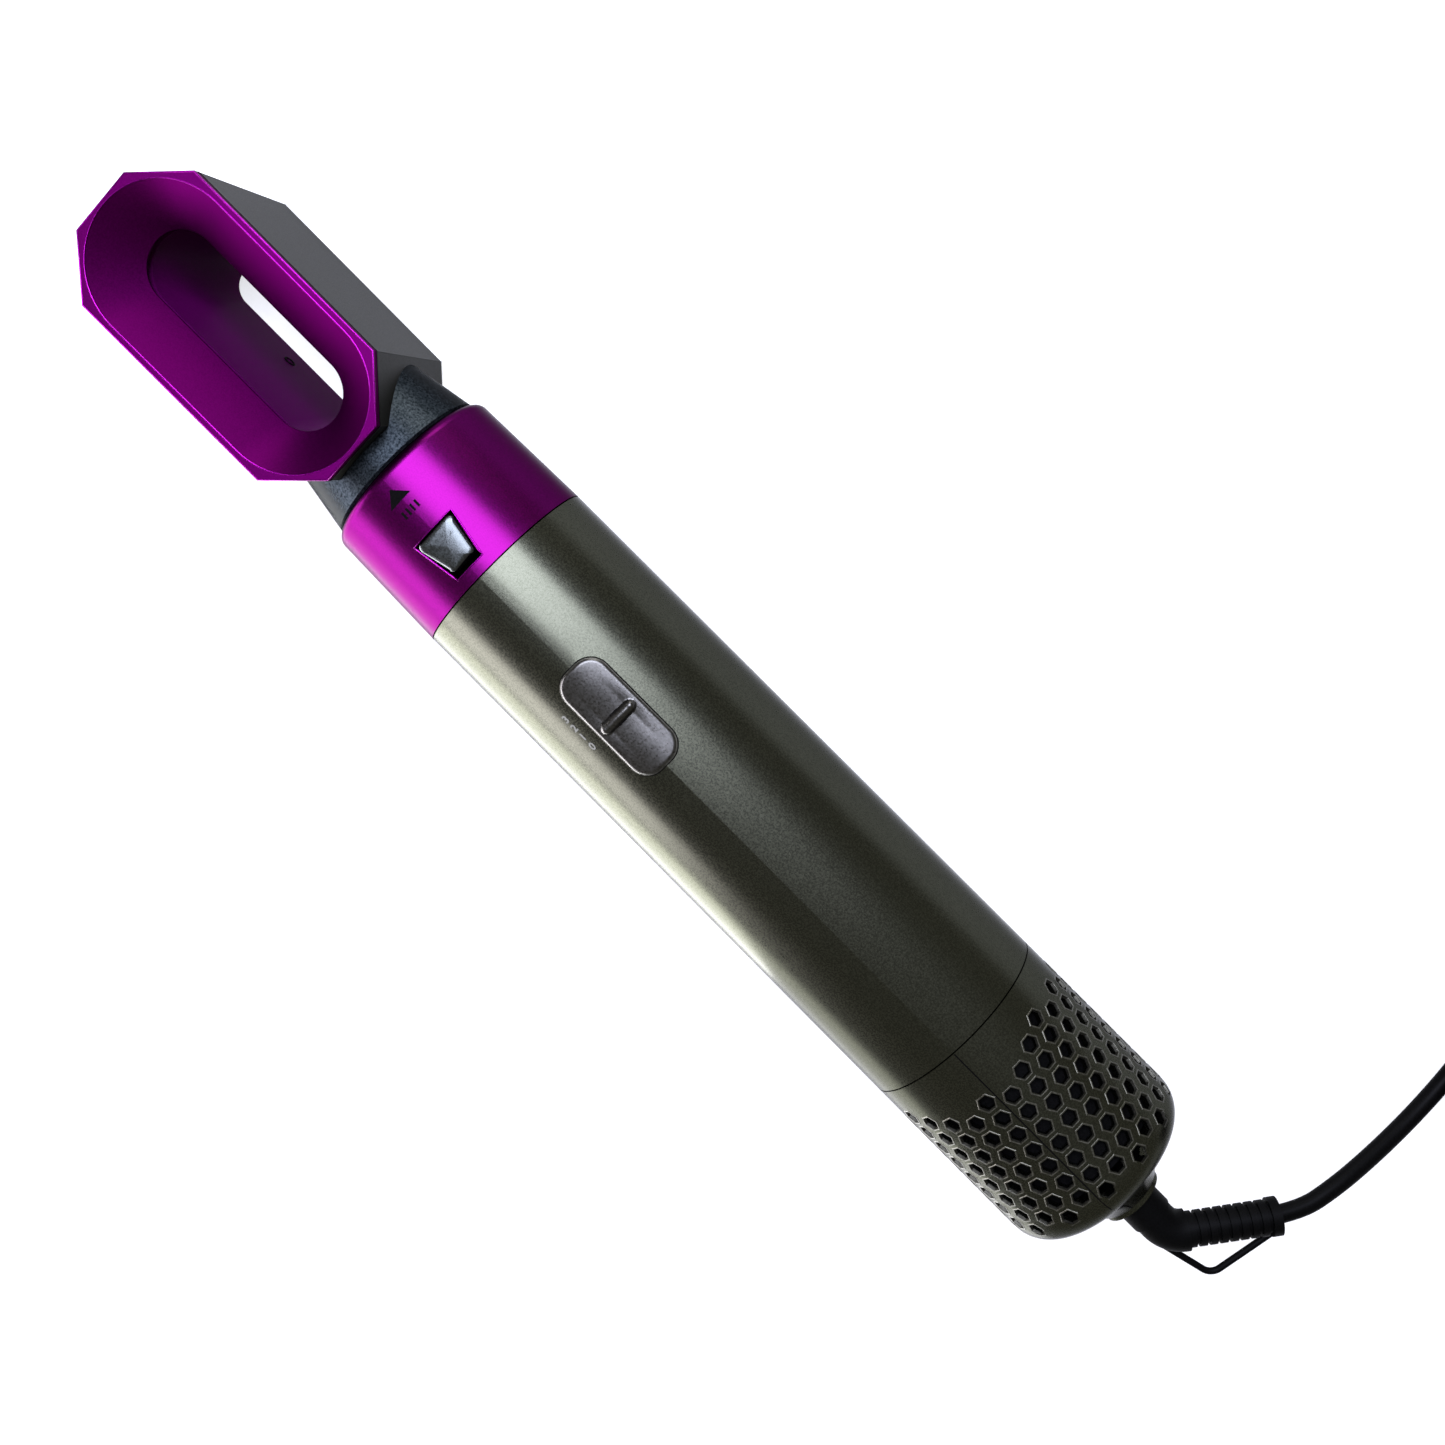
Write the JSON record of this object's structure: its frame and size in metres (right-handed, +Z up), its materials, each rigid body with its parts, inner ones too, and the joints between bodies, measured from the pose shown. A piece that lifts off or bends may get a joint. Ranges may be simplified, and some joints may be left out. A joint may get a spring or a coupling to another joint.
{
  "type": "hot air styler",
  "caption": "Round-barrelled hot air styler with a pull-off eight-sided drying head, a slot through the head, a thumb slider, a perforated inlet tail and a swivel cord.",
  "frame": {"origin": "on the floor, under the middle of the tool without its cord", "axes": "+X along the barrel towards the head, +Z up, with the buttons and the head's funnel facing up"},
  "size_m": [0.3895, 0.149, 0.045],
  "materials": {
    "black_rubber": "matte",
    "board_green": "satin",
    "brass": "satin",
    "button_grey": "satin",
    "heater_wire": "dull",
    "impeller_grey": "matte",
    "magenta_metal": "satin metallic",
    "magnet": "matte",
    "mica": "matte",
    "neck_dark": "fine texture",
    "nickel": "polished",
    "nylon_black": "matte",
    "nylon_white": "matte",
    "olive_metal": "satin metallic flake",
    "seal_red": "satin",
    "shell_grey": "matte",
    "sleeve_purple": "satin",
    "steel": "brushed"
  },
  "bodies": {
    "handle": {"collar": "magenta_metal", "receiver": "nylon_black", "latch_spring": "steel", "barrel": "olive_metal", "switch_body": "nylon_black", "control_board": "board_green", "air_duct": "mica", "outlet_grille": "nylon_black", "heater_boards": "mica", "heater_coil": "heater_wire", "thermostat": "steel", "thermal_fuse": "steel", "motor_mount": "nylon_white", "motor_can": "steel", "motor_magnets": "magnet", "motor_endcap": "nylon_white", "inlet_left": "olive_metal", "inlet_right": "olive_metal", "inlet_mesh": "steel", "power_board": "board_green", "power_parts": "nylon_black", "swivel_bush": "nylon_black"},
    "head": {"head_bezel": "magenta_metal", "head_shell": "shell_grey", "head_sleeve": "sleeve_purple", "head_neck": "neck_dark", "neck_seal": "seal_red", "head_screws": "steel"},
    "button": {"release_button": "button_grey", "latch_ring": "nylon_black"},
    "slider": {"slider_plate": "olive_metal", "slider_stem": "nylon_black"},
    "rotor": {"motor_shaft": "steel", "armature": "heater_wire", "impeller": "impeller_grey"},
    "swivel": {"swivel_stem": "black_rubber", "contact_rings": "brass", "strain_relief": "black_rubber", "hang_loop": "black_rubber", "cord_tube": "black_rubber", "cord_coil": "black_rubber", "cord_end": "black_rubber", "cord_tie": "nylon_black", "plug_body": "black_rubber", "plug_pins": "nickel"}
  },
  "joints": [
    {"name": "head_pull_off", "type": "slide", "parent": "handle", "child": "head", "axis": [1, 0, 0], "range_m": [0, 0.034]},
    {"name": "button_press", "type": "slide", "parent": "handle", "child": "button", "axis": [0, 0, -1], "range_m": [0, 0.001], "stiffness_N_per_m": 800, "deforming": ["latch_spring"]},
    {"name": "speed_slide", "type": "slide", "parent": "handle", "child": "slider", "axis": [1, 0, 0], "range_m": [0, 0.0074]},
    {"name": "fan_spin", "type": "hinge", "parent": "handle", "child": "rotor", "pos_m": [-0.0539, 0, 0.022], "axis": [1, 0, 0], "continuous": true},
    {"name": "cord_swivel", "type": "hinge", "parent": "handle", "child": "swivel", "pos_m": [-0.1399, 0, 0.022], "axis": [-1, 0, 0], "continuous": true}
  ]
}
